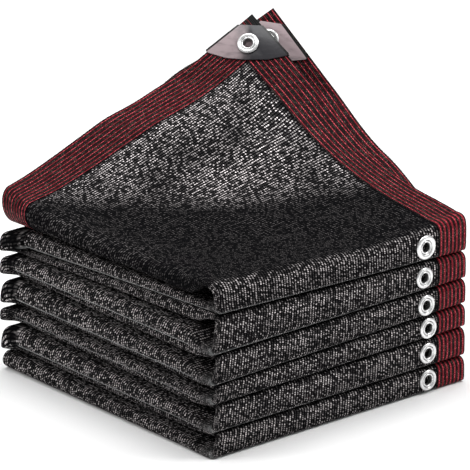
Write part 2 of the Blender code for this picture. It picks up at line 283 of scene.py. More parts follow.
def layer_limits(layer, x, y):
    """Lowest and highest surface of a layer where it lies flat. Layers count from 0."""
    packet, upper = divmod(layer, 2)
    floor = level(packet, x, y) + FLOOR_GAP * (packet > 0)
    if layer == LAYERS - 2:
        return floor, floor + mix(*TOP_PACKET_LAYER, to_back(y))
    roof = level(packet + 1, x, y) - FLOOR_GAP
    thick = max(LEAST_GAP + CLOTH, mix(*UPPER_SHARE, to_back(y)) * (roof - floor))
    if upper:
        return roof - thick, roof
    high = floor + mix(*LOWER_SHARE, to_back(y)) * (roof - floor)
    return floor, min(high, roof - thick - FLOOR_GAP)


def flat_layer(layer, share, x):
    """Place of a flat layer's middle and half the distance between its plies."""
    ends = (BACK_Y - BACK_REACH if layer else BACK_Y, FRONT_Y + FRONT_REACH)
    first, last = reversed(ends) if layer % 2 else ends
    y = mix(first, last, share)
    low, high = layer_limits(layer, x, y)
    slack = high - low - TURN_GAP - CLOTH
    # at the front a layer hangs from the turn it comes out of and rests on the one it goes into
    if layer % 2:
        low += slack * ease(1.0 - share / SQUEEZE)
    else:
        high -= slack * ease(1.0 - (1.0 - share) / SQUEEZE)
    return y, (low + high) / 2, (high - low - CLOTH) / 2


def turn_limits(turn, x):
    """Lowest and highest surface of a turn, and the gap between its plies at both ends."""
    if turn % 2:
        y = BACK_Y - BACK_REACH
        low, lower_top = layer_limits(turn, x, y)
        upper_foot, high = layer_limits(turn + 1, x, y)
        return low, high, lower_top - low - CLOTH, high - upper_foot - CLOTH
    y = FRONT_Y + FRONT_REACH
    low = layer_limits(turn, x, y)[0]
    if turn == LAYERS - 2:
        high = top_height(x - LEFT_X, START) + CLOTH / 2
    else:
        high = layer_limits(turn + 1, x, y)[1]
    return low, high, TURN_GAP, TURN_GAP


def turn_row(share):
    spot = share * (len(TURN) - 1)
    row = min(len(TURN) - 2, int(spot))
    return [mix(TURN[row][i], TURN[row + 1][i], spot - row) for i in (0, 1)]


def turn_point(turn, share, x, outward):
    """A point of a turn. outward runs from -1 on the ply inside the turn to 1 outside."""
    rise, reach = turn_row(share)
    low, high, low_gap, high_gap = turn_limits(turn, x)
    up = (rise + 1.0) / 2
    low += CLOTH / 2
    high -= CLOTH / 2
    outside = (outward + 1.0) / 2
    z = mix(mix(low + low_gap, high - high_gap, up), mix(low, high, up), outside)
    out = (BACK_REACH if turn % 2 else FRONT_REACH) - CLOTH / 2
    out -= mix(low_gap, high_gap, up) * (1.0 - outside)
    if turn % 2:
        return Vector((x, BACK_Y - BACK_REACH + out * reach, z))
    return Vector((x, FRONT_Y + FRONT_REACH - out * reach, z))


# Forms of the raised top sheet


def diagonal_table():
    """Distance covered and height gained at equal steps along the diagonal."""
    step = 2 * SIDE * math.sqrt(2) / DIAGONAL_STEPS
    rows = [(0.0, 0.0)]
    for i in range(DIAGONAL_STEPS):
        angle = SLOPE * ease(((i + 0.5) * step - RISE_FROM) / (RISE_TO - RISE_FROM))
        rows.append((rows[-1][0] + step * math.cos(angle), rows[-1][1] + step * math.sin(angle)))
    return step, rows


DIAGONAL = diagonal_table()


def diagonal_at(distance):
    step, rows = DIAGONAL
    spot = max(0.0, distance / step)
    row = min(len(rows) - 2, int(spot))
    return [mix(rows[row][i], rows[row + 1][i], spot - row) for i in (0, 1)]


def top_height(across, along):
    """Height of the top sheet's outer ply."""
    distance = (across + along) / math.sqrt(2)
    aside = (across - along) / math.sqrt(2)
    gained = diagonal_at(distance)[1]
    climbed = math.pi * min(1.0, max(0.0, (distance - 0.2) / (2 * HALF_DIAGONAL - 0.2)))
    hang = (LEAN * aside - SAG) * math.sin(climbed)
    drop, wave = (RIGHT_DROP, RIGHT_WAVE) if aside > 0 else (LEFT_DROP, LEFT_WAVE)
    sideways = abs(aside) / HALF_DIAGONAL
    hang += (wave * math.sin(2 * climbed) - drop) * sideways
    lift = ROLL_LIFT * (1.0 - ease((along - START) / ROLL_LENGTH)) * (1.0 - across / SIDE)
    return CREST + gained + hang + lift


def rising_sheet(across, along):
    """The outer ply before its corner is flattened."""
    distance = (across + along) / math.sqrt(2)
    aside = (across - along) / math.sqrt(2)
    flat = FRONT_CORNER + Vector((across, along, 0.0))
    bent = FRONT_CORNER + ALONG * diagonal_at(distance)[0] + ASIDE * aside
    spot = flat.lerp(bent, ease((along - START) / 0.06))
    return spot + UP * top_height(across, along)


def flat_corner(spot, corner, across, along):
    """Lays the last part of a raised corner in one plane, so that its plates fit."""
    tip, down_left, down_right = (Vector(row) for row in corner)
    flat = tip + down_left * (SIDE - across) / CORNER_SPAN + down_right * (SIDE - along) / CORNER_SPAN
    depth = (2 * SIDE - across - along) / math.sqrt(2)
    return flat.lerp(spot, ease((depth - FLAT_CORNER) / FLAT_CORNER))


def outer_sheet(across, along):
    return flat_corner(rising_sheet(across, along), OUTER_CORNER, across, along)


def inner_sheet(across, along):
    """The ply behind: it hangs below the outer one and slips aside towards the corner."""
    spot = rising_sheet(across, along)
    near_left = 1.0 - ease(across / 0.12)
    left_roll = spot.z - CLOTH / 2 - mix(*LEFT_ROLL_FOOT, along / SIDE)
    to_corner = (across + along) / (2 * SIDE)
    gap = mix(mix(0.007, CORNER_GAP, ease(to_corner * 1.3 - 0.3)), left_roll, near_left)
    gap = mix(TURN_GAP, gap, ease((along - START) / 0.035))
    slip = (across / SIDE) * ease((along - 0.03) / 0.12)
    slide = ALONG * REAR_ALONG * math.cos(SLOPE) + UP * REAR_ALONG * math.sin(SLOPE)
    spot += (slide + ASIDE * REAR_ASIDE) * slip - UP * gap
    return flat_corner(spot, INNER_CORNER, across, along)


# One surface for the whole cloth


def left_edge(run):
    """How far the lengthwise fold is set back from the left face."""
    piece = int(min(run, TOP_LAYER))
    back = [RECESS if layer % 2 or layer == LAYERS - 2 else 0.0 for layer in range(LAYERS)]
    back[LAYERS - 1] = 0.0
    layer = piece // 2
    if piece % 2 and layer % 2:
        return back[layer] * (1.0 - ease(2.0 * (run - piece)))
    if piece % 2:
        return mix(back[layer], back[layer + 1], ease(run - piece))
    return back[layer]


def top_point(share, turned, beyond):
    along = mix(START, SIDE, share)
    roll = mix(TURN_GAP / 2, LEFT_ROLL_REACH, ease(share * 8.0))
    spot = mix(roll, SIDE, beyond)
    outer, inner = outer_sheet(spot, along), inner_sheet(spot, along)
    height = (math.sin(turned) + 1.0) / 2
    under = LEFT_ROLL_LEAN * ease(share * 4.0) * (1.0 - height) * (1.0 - beyond) ** 4
    return inner.lerp(outer, height) + Vector((under - roll * math.cos(turned), 0.0, 0.0))


def cloth_point(run, across):
    piece = int(min(run, TOP_LAYER))
    share = run - piece
    turned = math.radians(90.0) * max(-1.0, min(1.0, across / FOLD))
    beyond = max(0.0, abs(across) - FOLD) / (SIDE - FOLD)
    if piece == TOP_LAYER:
        return top_point(share, turned, beyond)
    number = piece // 2
    edge = LEFT_X + left_edge(run)
    if piece % 2:
        low_gap, high_gap = turn_limits(number, edge)[2:]
        half = mix(low_gap, high_gap, (turn_row(share)[0] + 1.0) / 2) / 2
    else:
        half = flat_layer(number, share, edge)[2]
    roll = min(half, FOLD)
    x = mix(edge + roll, LEFT_X + SIDE, beyond) - roll * math.cos(turned)
    if piece % 2 and number % 2:
        x -= EAR * math.sin(math.pi * share) * (1.0 - beyond) ** 6
    outward = math.sin(turned)
    if piece % 2:
        return turn_point(number, share, x, -outward if number % 2 else outward)
    y, middle, half = flat_layer(number, share, x)
    return Vector((x, y, middle + half * (outward if number % 2 else -outward)))


# Cloth pieces


def fine_turn():
    """The turn's section again, rounded and with more rows: a sharp foot and a fuller crown."""
    rows = []
    for i in range(FINE_TURN + 1):
        angle = math.pi * (i / FINE_TURN - 0.5)
        rise, reach = math.sin(angle), max(0.0, math.cos(angle))
        power = 2.0 / (FOOT_POWER if rise < 0.0 else CROWN_POWER)
        rows.append((math.copysign(abs(rise) ** power, rise), reach ** power))
    return tuple(rows)


TURN = fine_turn()


def fine_runs(first=0.0, last=TOP_LAYER + 1.0):
    """Stations along the cloth: close where it bends, wider where it lies flat."""
    turn = [i / FINE_TURN for i in range(FINE_TURN)]
    stations = []
    for layer in range(LAYERS - 1):
        squeezed = [SQUEEZE * i / 4 for i in range(5)]
        rest = [s / FLAT_STEPS for s in range(FLAT_STEPS)]
        if layer % 2:
            flat = squeezed + [s for s in rest if s > SQUEEZE + 0.02]
        else:
            flat = [s for s in rest if s < 1.0 - SQUEEZE - 0.02]
            flat += [1.0 - s for s in reversed(squeezed[1:])]
        stations += [2 * layer + s for s in flat]
        stations += [2 * layer + 1 + s for s in turn]
    stations += [TOP_LAYER + i / TOP_STEPS for i in range(TOP_STEPS + 1)]
    inside = [s for s in stations if first + 0.002 < s < last - 0.002]
    return [first, *inside, last]


def fine_acrosses(first, last):
    fold = [FOLD * i / 8 for i in range(-8, 9)]
    wide = [FOLD + (SIDE - FOLD) * i / WIDE_STEPS for i in range(1, WIDE_STEPS + 1)]
    every = [-a for a in reversed(wide)] + fold + wide
    inside = [a for a in every if first + 0.001 < a < last - 0.001]
    return [first, *inside, last]


def even_steps(first, last, count):
    return [mix(first, last, i / count) for i in range(count + 1)]


def length_marks(runs):
    """Metres along the cloth at each station, measured on the outer ply."""
    marks = [0.0]
    before = cloth_point(runs[0], 0.2)
    for run in runs[1:]:
        here = cloth_point(run, 0.2)
        marks.append(marks[-1] + (here - before).length)
        before = here
    return marks


def painted_edge_highlight_at(run, across):
    """How strong the painted highlight is: light lines along lower edges of the lengthwise fold and
    turns' feet.
    """
    piece = int(min(run, TOP_LAYER))
    if piece == TOP_LAYER or (piece // 2) % 2:
        return 0.0
    if piece % 2:
        foot = math.exp(-((turn_row(run - piece)[0] + FOOT_CREASE) / 0.05) ** 2)
        return FOOT_HIGHLIGHT * foot * (1.0 - 0.6 * min(1.0, abs(across) / SIDE))
    return math.exp(-((across - FOLD_CREASE) / CREASE_WIDTH) ** 2) if piece else 0.0


def ripple(across, along):
    """Height of the soft creases in the raised sheet."""
    height = 0.0
    for spot_across, spot_along, heading, length, width, rise in RIPPLES:
        ahead = Vector((math.cos(math.radians(heading)), math.sin(math.radians(heading))))
        offset = Vector((across - spot_across, along - spot_along))
        lengthways = offset.dot(ahead) / length
        sideways = (offset.x * ahead.y - offset.y * ahead.x) / width
        height += rise * math.exp(-lengthways * lengthways - sideways * sideways)
    return height


def fine_point(run, across):
    spot = cloth_point(run, across)
    if run > TOP_LAYER:
        along = mix(START, SIDE, run - TOP_LAYER)
        rise = ease(abs(across) / RIPPLE_EDGE) * ease((along - START) / RIPPLE_EDGE)
        spot = spot + UP * ripple(abs(across), along) * rise
    return spot


def painted_highlight_at(run, across):
    """How bright the painted highlight on the yarn is: most where the sheet is raised and on each
    turn's crown, with painted shade on the turns' top edges.
    """
    piece = int(min(run, TOP_LAYER))
    if piece < TOP_LAYER:
        if piece % 2 == 0:
            return LAYER_PAINTED_HIGHLIGHT
        rise = turn_row(run - piece)[0]
        crown = math.exp(-((rise - CROWN_HIGHLIGHT_AT) / CROWN_SPREAD) ** 2)
        top_edge = ease((rise - TOP_EDGE_AT) / TOP_EDGE_LENGTH)
        return mix(TURN_PAINTED_HIGHLIGHT, 1.0, crown) * mix(1.0, TOP_EDGE_HIGHLIGHT, top_edge)
    along = mix(START, SIDE, run - TOP_LAYER)
    spread = abs(across)
    climbed = spread + along - RIGHT_FADE * max(0.0, spread - along)
    painted_highlight = mix(LOW_PAINTED_HIGHLIGHT, 1.0, ease((climbed - RAISED_FROM) / RAISED_LENGTH))
    for spot_across, spot_along, radius, share in PAINTED_HIGHLIGHT_SPOTS:
        away = math.hypot(spread - spot_across, along - spot_along) / radius
        painted_highlight *= 1.0 - share * math.exp(-away * away)
    return painted_highlight


def sheet_piece(name, runs, acrosses, thickness, material):
    """A strip or panel of the folded surface: a flat grid laid in the folds, then thickened."""
    bpy.ops.mesh.primitive_grid_add(
        x_subdivisions=len(runs) - 1, y_subdivisions=len(acrosses) - 1, size=1.0
    )
    piece = bpy.context.object
    piece.name = piece.data.name = name
    marks = length_marks(runs)
    mesh = piece.data
    flat = []
    labels = ("turned", "painted_edge_highlight", "painted_highlight", "tip")
    for label in labels:
        mesh.attributes.new(label, "FLOAT", "POINT")
    marked = [mesh.attributes[label].data for label in labels]
    for vert in mesh.vertices:
        column = round((vert.co.x + 0.5) * (len(runs) - 1))
        row = round((vert.co.y + 0.5) * (len(acrosses) - 1))
        run, across = runs[column], acrosses[row]
        flat.append((across, marks[column]))
        turned = float(int(min(run, TOP_LAYER)) % 2)
        near_end = (run - TOP_LAYER - 1.0) * (SIDE - START) + TIP_LENGTH
        near_side = across - SIDE + TIP_WIDTH
        tip = ease(near_end / TIP_EDGE) * ease(near_side / TIP_EDGE)
        values = (turned, painted_edge_highlight_at(run, across), painted_highlight_at(run, across), tip)
        for data, value in zip(marked, values):
            data[vert.index].value = value
        vert.co = fine_point(run, across)
    layer = mesh.uv_layers.active or mesh.uv_layers.new(name="flat")
    layer.name = "flat"
    for loop in mesh.loops:
        layer.data[loop.index].uv = flat[loop.vertex_index]
    thicken = piece.modifiers.new("thickness", "SOLIDIFY")
    thicken.thickness = thickness
    thicken.offset = 0.0
    bpy.ops.object.modifier_apply(modifier=thicken.name)
    bpy.ops.object.shade_smooth_by_angle(angle=math.radians(50.0))
    piece.data.materials.append(material)
    bpy.ops.object.select_all(action="DESELECT")
    return piece


# Finishes


def group(name, inputs, outputs):
    made = bpy.data.node_groups.new(name, "ShaderNodeTree")
    for label, kind, value in inputs:
        socket = made.interface.new_socket(label, in_out="INPUT", socket_type=kind)
        if value is not None:
            socket.default_value = value
    for label, kind in outputs:
        made.interface.new_socket(label, in_out="OUTPUT", socket_type=kind)
    return made, made.nodes.new("NodeGroupInput"), made.nodes.new("NodeGroupOutput")


class Sums:
    """Short names for the maths nodes of one tree."""

    def __init__(self, tree):
        self.tree = tree

    def feed(self, socket, value):
        if isinstance(value, (int, float, tuple)):
            socket.default_value = value
        else:
            self.tree.links.new(value, socket)

    def math(self, kind, *values):
        node = self.tree.nodes.new("ShaderNodeMath")
        node.operation = kind
        for socket, value in zip(node.inputs, values):
            self.feed(socket, value)
        return node.outputs[0]

    def add(self, a, b):
        return self.math("ADD", a, b)

    def less(self, a, b):
        return self.math("SUBTRACT", a, b)

    def times(self, a, b):
        return self.math("MULTIPLY", a, b)

    def off_middle(self, value):
        """How far a value is from the middle of its whole step, 0 to 0.5."""
        return self.math("ABSOLUTE", self.less(self.math("FRACT", value), 0.5))

    def step(self, value, low, high):
        """0 below low, 1 above high, smooth between."""
        node = self.tree.nodes.new("ShaderNodeMapRange")
        node.interpolation_type = "SMOOTHSTEP"
        self.feed(node.inputs["Value"], value)
        self.feed(node.inputs["From Min"], low)
        self.feed(node.inputs["From Max"], high)
        return node.outputs["Result"]

    def join(self, x, y, z=0.0):
        node = self.tree.nodes.new("ShaderNodeCombineXYZ")
        for socket, value in zip(node.inputs, (x, y, z)):
            self.feed(socket, value)
        return node.outputs[0]

    def split(self, vector):
        node = self.tree.nodes.new("ShaderNodeSeparateXYZ")
        self.feed(node.inputs[0], vector)
        return node.outputs

    def scatter(self, vector):
        """A number from 0 to 1 for each cell."""
        node = self.tree.nodes.new("ShaderNodeTexWhiteNoise")
        node.noise_dimensions = "3D"
        self.feed(node.inputs["Vector"], vector)
        return node.outputs["Value"]

    def cloud(self, vector, scale, detail=2.0):
        node = self.tree.nodes.new("ShaderNodeTexNoise")
        self.feed(node.inputs["Vector"], vector)
        node.inputs["Scale"].default_value = scale
        node.inputs["Detail"].default_value = detail
        return node.outputs["Fac"]

    def blend(self, share, a, b):
        node = self.tree.nodes.new("ShaderNodeMix")
        node.data_type = "RGBA"
        self.feed(node.inputs[0], share)
        self.feed(node.inputs[6], a)
        self.feed(node.inputs[7], b)
        return node.outputs[2]

    def attribute(self, name):
        node = self.tree.nodes.new("ShaderNodeAttribute")
        node.attribute_name = name
        return node.outputs["Fac"]

    def map_named(self, name):
        node = self.tree.nodes.new("ShaderNodeUVMap")
        node.uv_map = name
        return node.outputs[0]


def grey(value, alpha=1.0):
    return (value, value, value, alpha)


def yarn_floats():
    """Rows of slanted yarn floats. X runs across a row and Y along it, in metres."""
    inputs = (
        ("Vector", "NodeSocketVector", None),
        ("Width", "NodeSocketFloat", 0.003),
        ("Length", "NodeSocketFloat", 0.002),
        ("Slant", "NodeSocketFloat", 0.4),
        ("Seed", "NodeSocketFloat", 0.0),
    )
    outputs = (("Height", "NodeSocketFloat"), ("Glint", "NodeSocketFloat"))
    made, given, out = group("yarn floats", inputs, outputs)
    s = Sums(made)
    x, y, _ = s.split(given.outputs["Vector"])
    drift = s.times(s.less(s.cloud(given.outputs["Vector"], 160.0), 0.5), 0.0022)
    x = s.add(x, s.times(drift, 0.5))
    across = s.math("DIVIDE", x, given.outputs["Width"])
    row = s.math("FLOOR", across)
    slide = s.scatter(s.join(row, given.outputs["Seed"], 5.0))
    lean = s.times(s.less(s.math("FRACT", across), 0.5), given.outputs["Slant"])
    along = s.add(s.add(s.math("DIVIDE", s.add(y, drift), given.outputs["Length"]), slide), lean)
    cell = s.math("FLOOR", along)
    in_row = s.less(1.0, s.step(s.off_middle(across), 0.12, 0.33))
    in_cell = s.less(1.0, s.step(s.off_middle(along), 0.24, 0.42))
    body = s.times(in_row, in_cell)
    chance = s.scatter(s.join(row, cell, s.add(given.outputs["Seed"], 9.0)))
    made.links.new(s.times(body, s.add(0.45, s.times(chance, 0.55))), out.inputs["Height"])
    lit = s.add(0.06, s.times(s.step(chance, 0.20, 0.84), 0.98))
    made.links.new(s.times(body, lit), out.inputs["Glint"])
    return made


def finish(name, roughness, metallic=0.0):
    made = bpy.data.materials.new(name)
    made.use_nodes = True
    shader = made.node_tree.nodes["Principled BSDF"]
    shader.inputs["Roughness"].default_value = roughness
    shader.inputs["Metallic"].default_value = metallic
    return made, made.node_tree, shader


def bump(tree, shader, height, distance):
    node = tree.nodes.new("ShaderNodeBump")
    node.inputs["Distance"].default_value = distance
    tree.links.new(height, node.inputs["Height"])
    tree.links.new(node.outputs["Normal"], shader.inputs["Normal"])


def floats_at(tree, floats, vector, width, length, slant, seed):
    node = tree.nodes.new("ShaderNodeGroup")
    node.node_tree = floats
    tree.links.new(vector, node.inputs["Vector"])
    for label, value in (("Width", width), ("Length", length), ("Slant", slant), ("Seed", seed)):
        node.inputs[label].default_value = value
    return node.outputs["Height"], node.outputs["Glint"]


def knit_finish(name, floats, top_cut_at):
    """Black knit with painted glints: near-white floats in rows on the layers, in upright ladders on
    the turns.
    """
    made, tree, shader = finish(name, 0.6)
    shader.inputs["Specular IOR Level"].default_value = 0.0
    s = Sums(tree)
    flat = s.map_named("flat")
    u, v, _ = s.split(flat)
    rows, row_glint = floats_at(tree, floats, s.join(v, u), *LAYER_FLOATS, 1.0)
    rungs, rung_glint = floats_at(tree, floats, s.join(u, v), *TURN_FLOATS, 2.0)
    turned = s.attribute("turned")
    flat_share = s.less(1.0, turned)
    height = s.add(s.times(rows, flat_share), s.times(rungs, turned))
    glint = s.add(s.times(row_glint, flat_share), s.times(rung_glint, turned))
    fuzz = s.step(s.cloud(flat, 720.0, 1.0), 0.36, 0.58)
    glint = s.times(glint, s.add(0.30, s.times(fuzz, 0.70)))
    # painted highlight and painted shade: the glints are scaled by where light falls on the cloth,
    # times random patches
    patches_and_painted_highlight = s.times(s.add(0.70, s.times(s.cloud(flat, 30.0), 0.6)), s.attribute("painted_highlight"))
    by_tape = s.step(s.math("ABSOLUTE", u), SIDE - TAPE - HEM, SIDE - TAPE - HEM / 2)
    by_end = s.step(v, top_cut_at - HEM, top_cut_at - HEM / 2)
    hem = s.times(s.math("MAXIMUM", by_tape, by_end), HEM_SHADE)
    glint = s.times(s.times(glint, patches_and_painted_highlight), s.less(1.0, hem))
    # painted glints: the black ground is lifted to near-white on the floats that catch light
    knit_with_painted_glints = s.blend(glint, GROUND, GLINT)
    # painted highlight: light lines along the lower fold edges and the turns' feet
    colour = s.blend(s.times(s.attribute("painted_edge_highlight"), 0.8), knit_with_painted_glints, EDGE_HIGHLIGHT_COLOUR)
    tree.links.new(colour, shader.inputs["Base Color"])
    tree.links.new(s.times(glint, METAL_SHARE), shader.inputs["Metallic"])
    tree.links.new(s.less(0.65, s.times(glint, 0.25)), shader.inputs["Roughness"])
    bump(tree, shader, height, KNIT_RELIEF)
    return made


def tape_finish(name, floats):
    """Tape: thin bright red warp lines, and dim red and olive dashes on black between them, each colour
    with painted glints on its floats and painted shade between.
    """
    made, tree, shader = finish(name, 0.6)
    shader.inputs["Specular IOR Level"].default_value = 0.08
    s = Sums(tree)
    u, v, _ = s.split(s.map_named("tape"))
    pitch = TAPE / LINES / 3.0
    dashes, glint = floats_at(tree, floats, s.join(u, v), pitch, TAPE_FLOAT, TAPE_SLANT, 3.0)
    spot = s.math("DIVIDE", u, TAPE / LINES)
    wide = s.times(s.attribute("turned"), 0.10)
    line = s.less(1.0, s.step(s.off_middle(spot), s.add(0.06, wide), s.add(0.15, wide)))
    beside = s.less(1.0, s.step(s.off_middle(spot), 0.20, 0.40))
    strand = s.math("FLOOR", s.times(spot, 3.0))
    chequer = s.scatter(s.join(strand, s.math("FLOOR", s.math("DIVIDE", v, CHEQUER)), 4.0))
    # painted glints and painted shade: each tape colour runs from its shaded value to its lit value by
    # the floats' glint
    olive, dim, red = (s.blend(glint, *pair) for pair in (OLIVE, DIM_RED, BRIGHT_RED))
    between = s.blend(s.math("MAXIMUM", beside, s.step(chequer, 0.45, 0.55)), olive, dim)
    colour = s.blend(s.attribute("tip"), s.blend(line, between, red), TIP_BLACK)
    tree.links.new(colour, shader.inputs["Base Color"])
    bump(tree, shader, s.add(dashes, s.times(line, 0.4)), TAPE_RELIEF)
    return made


def metal_finish(name):
    """Bright rolled metal with fine scratches, and painted shade in its groove and down the inside of
    its hole.
    """
    made, tree, shader = finish(name, 0.3, 0.8)
    s = Sums(tree)
    spot = tree.nodes.new("ShaderNodeTexCoord").outputs["Object"]
    wear = s.cloud(spot, 420.0, 4.0)
    bright = s.blend(wear, grey(0.95), grey(0.74))
    # painted shade: the groove and the inside of the hole are darkened
    tree.links.new(s.blend(s.attribute("painted_groove_shade"), bright, grey(0.035)), shader.inputs["Base Color"])
    tree.links.new(s.add(0.2, s.times(wear, 0.2)), shader.inputs["Roughness"])
    bump(tree, shader, wear, 0.0001)
    return made


def plastic_finish(name, pale, dark, from_x, to_x):
    """Smoked plastic: hazy and paler towards one side, where light coming through is painted, and
    darker with painted shade on the other, with black slanted rims.
    """
    made, tree, shader = finish(name, 0.3)
    shader.inputs["Specular IOR Level"].default_value = 0.25
    shader.inputs["Coat Weight"].default_value = 0.08
    s = Sums(tree)
    x, y, _ = s.split(s.map_named("plate"))
    place = s.join(x, y)
    haze = s.less(s.cloud(place, 55.0, 3.0), 0.5)
    # painted light and shade: the plate turns from its pale, lit-through colour to its dark, shaded one
    # across it
    plate_shade_share = s.step(s.add(x, s.times(haze, 0.03)), from_x, to_x)
    streaks = s.cloud(s.join(s.times(x, 0.35), y), 190.0, 2.0)
    colour = s.blend(plate_shade_share, pale, dark)
    colour = s.blend(s.times(s.step(streaks, 0.45, 0.75), 0.35), colour, dark)
    to_rim = s.less(s.less(PLATE_EDGE, y), s.math("ABSOLUTE", x))
    rim = s.less(1.0, s.step(to_rim, RIM_WIDTH, RIM_WIDTH + 0.0008))
    tree.links.new(s.blend(rim, colour, grey(0.006)), shader.inputs["Base Color"])
    bump(tree, shader, s.cloud(place, 260.0), 0.00012)
    return made


# Eyelets and plates


def place_on(point, across_way, normal):
    """Matrix that puts +Z along the normal and +X along the cloth."""
    normal = normal.normalized()
    side = (across_way - normal * across_way.dot(normal)).normalized()
    turned = Matrix((side, normal.cross(side), normal)).transposed().to_4x4()
    return Matrix.Translation(point) @ turned


def settle(piece, place, material):
    """Puts a piece modelled flat at the origin in its place, with its place in its mesh."""
    piece.data.transform(place)
    piece.data.materials.append(material)
    piece.data.update()
    bpy.ops.object.select_all(action="DESELECT")
    return piece


def eyelet_section(radius, back):
    """Radius and height round the eyelet's wall: collar, groove, domed flange, barrel and curl."""
    groove = HOLE_RADIUS + GROOVE_OUT
    return (
        (HOLE_RADIUS, 0.0004),
        (HOLE_RADIUS + 0.0002, 0.0012),
        (HOLE_RADIUS + 0.0008, 0.0018),
        (HOLE_RADIUS + 0.0014, 0.0018),
        (groove - 0.0004, 0.0012),
        (groove, GROOVE_FLOOR),
        (groove + 0.0003, 0.0012),
        (groove + 0.0009, 0.0019),
        (mix(groove, radius, 0.55), 0.0022),
        (radius - 0.0010, 0.0019),
        (radius - 0.0003, 0.0014),
        (radius, 0.0009),
        (radius, JOIN / 2),
        (radius - 0.0006, 0.0002),
        (HOLE_RADIUS + BARREL, 0.0002),
        (HOLE_RADIUS + BARREL, back),
        (HOLE_RADIUS + 0.0019, back),
        (HOLE_RADIUS + 0.0022, back - CURL / 2),
        (HOLE_RADIUS + 0.0016, back - CURL),
        (HOLE_RADIUS + 0.0006, back - CURL),
        (HOLE_RADIUS, back - CURL / 2),
    )


def eyelet(name, radius, stack, place, material):
    """A turned eyelet: a circle drawn out ring by ring round its section."""
    section = eyelet_section(radius, -stack - JOIN)
    first_radius, first_height = section[0]
    bpy.ops.mesh.primitive_circle_add(
        vertices=FINE_SIDES, radius=first_radius, location=(0.0, 0.0, first_height)
    )
    piece = bpy.context.object
    piece.name = piece.data.name = name
    bpy.ops.object.transform_apply(location=True, rotation=False, scale=False)
    bpy.ops.object.mode_set(mode="EDIT")
    bpy.ops.mesh.select_all(action="SELECT")
    for (r0, z0), (r1, z1) in zip(section, section[1:] + section[:1]):
        bpy.ops.mesh.extrude_region_move(TRANSFORM_OT_translate={"value": (0.0, 0.0, z1 - z0)})
        bpy.ops.transform.resize(value=(r1 / r0, r1 / r0, 1.0), center_override=(0.0, 0.0, z1))
    bpy.ops.mesh.select_all(action="SELECT")
    bpy.ops.mesh.remove_doubles(threshold=0.00001)
    bpy.ops.mesh.normals_make_consistent(inside=False)
    bpy.ops.object.mode_set(mode="OBJECT")
    bpy.ops.object.shade_smooth_by_angle(angle=math.radians(60.0))
    # painted shade: darkness marked on the groove's floor and down the inside of the hole
    painted_groove_shade = piece.data.attributes.new("painted_groove_shade", "FLOAT", "POINT")
    for vert in piece.data.vertices:
        from_groove = abs(vert.co.xy.length - HOLE_RADIUS - GROOVE_OUT)
        in_groove = from_groove < 0.0001 and vert.co.z > 0.0
        in_barrel = vert.co.xy.length < HOLE_RADIUS + 0.0001
        painted_groove_shade.data[vert.index].value = 1.0 if in_groove else BARREL_SHADE * in_barrel
    return settle(piece, place, material)


def punch(piece, radius, place):
    """Cuts a round hole through a piece."""
    bpy.ops.mesh.primitive_cylinder_add(vertices=FINE_SIDES, radius=radius, depth=0.010)
    cutter = bpy.context.object
    cutter.data.transform(place)
    hole = piece.modifiers.new("hole", "BOOLEAN")
    hole.operation = "DIFFERENCE"
    hole.solver = "EXACT"
    hole.object = cutter
    bpy.ops.object.select_all(action="DESELECT")
    bpy.context.view_layer.objects.active = piece
    piece.select_set(True)
    bpy.ops.object.modifier_apply(modifier=hole.name)
    bpy.data.objects.remove(cutter)
    bpy.ops.object.select_all(action="DESELECT")


def plate_outline():
    """Half of a corner plate's outline, from the top edge round to its foot."""
    top, shoulder, foot = PLATE_TOP, PLATE_SHOULDER, PLATE_FOOT
    half = [(0.0, -top), (top + PLATE_EDGE, -top), (shoulder + PLATE_EDGE, -shoulder)]
    half += [(shoulder - 0.001, -shoulder - 0.003)]
    half += [(0.022, -foot + 0.0012), (0.0, -foot)]
    return half


def plate(name, place, hole_middle, material):
    """A trapezium of smoked plastic with softened edges and a hole for the barrel."""
    half = plate_outline()
    ring = half + [(-x, y) for x, y in reversed(half[1:-1])]
    bpy.ops.mesh.primitive_circle_add(vertices=len(ring), radius=0.01, fill_type="NGON")
    piece = bpy.context.object
    piece.name = piece.data.name = name
    for vert, (x, y) in zip(piece.data.vertices, ring):
        vert.co = (x, y, -PLATE / 2)
    bpy.ops.object.mode_set(mode="EDIT")
    bpy.ops.mesh.select_all(action="SELECT")
    bpy.ops.mesh.extrude_region_move(TRANSFORM_OT_translate={"value": (0.0, 0.0, PLATE)})
    bpy.ops.mesh.select_all(action="SELECT")
    bpy.ops.mesh.normals_make_consistent(inside=False)
    bpy.ops.object.mode_set(mode="OBJECT")
    punch(piece, HOLE_RADIUS + BARREL + JOIN / 2, Matrix.Translation((0.0, hole_middle, 0.0)))
    bpy.context.view_layer.objects.active = piece
    piece.select_set(True)
    soften = piece.modifiers.new("soft edges", "BEVEL")
    soften.width = 0.0004
    soften.segments = 3
    soften.limit_method = "ANGLE"
    bpy.ops.object.modifier_apply(modifier=soften.name)
    bpy.ops.object.shade_smooth_by_angle(angle=math.radians(40.0))
    mesh = piece.data
    layer = mesh.uv_layers.active or mesh.uv_layers.new(name="plate")
    layer.name = "plate"
    for loop in mesh.loops:
        layer.data[loop.index].uv = mesh.vertices[loop.vertex_index].co.xy
    return settle(piece, place, material)


def corner_frame(sheet):
    """Point and directions of a raised corner: its tip, the way across it and the normal."""
    tip = sheet(SIDE, SIDE)
    left = sheet(SIDE - TAPE, SIDE)
    right = sheet(SIDE, SIDE - TAPE)
    normal = (right - tip).cross(left - tip).normalized()
    if normal.z < 0:
        normal.negate()
    return tip, right - left, normal


def tape_coordinates(piece, along_run):
    """Adds the tape's own map: metres across the tape from its inner edge, and along it."""
    flat = piece.data.uv_layers["flat"]
    made = piece.data.uv_layers.new(name="tape")
    top_end = max(item.uv.y for item in flat.data)
    for here, there in zip(flat.data, made.data):
        across, along = here.uv
        if along_run:
            there.uv = (abs(across) - (SIDE - TAPE), along)
        else:
            there.uv = (along - (top_end - TAPE), across)


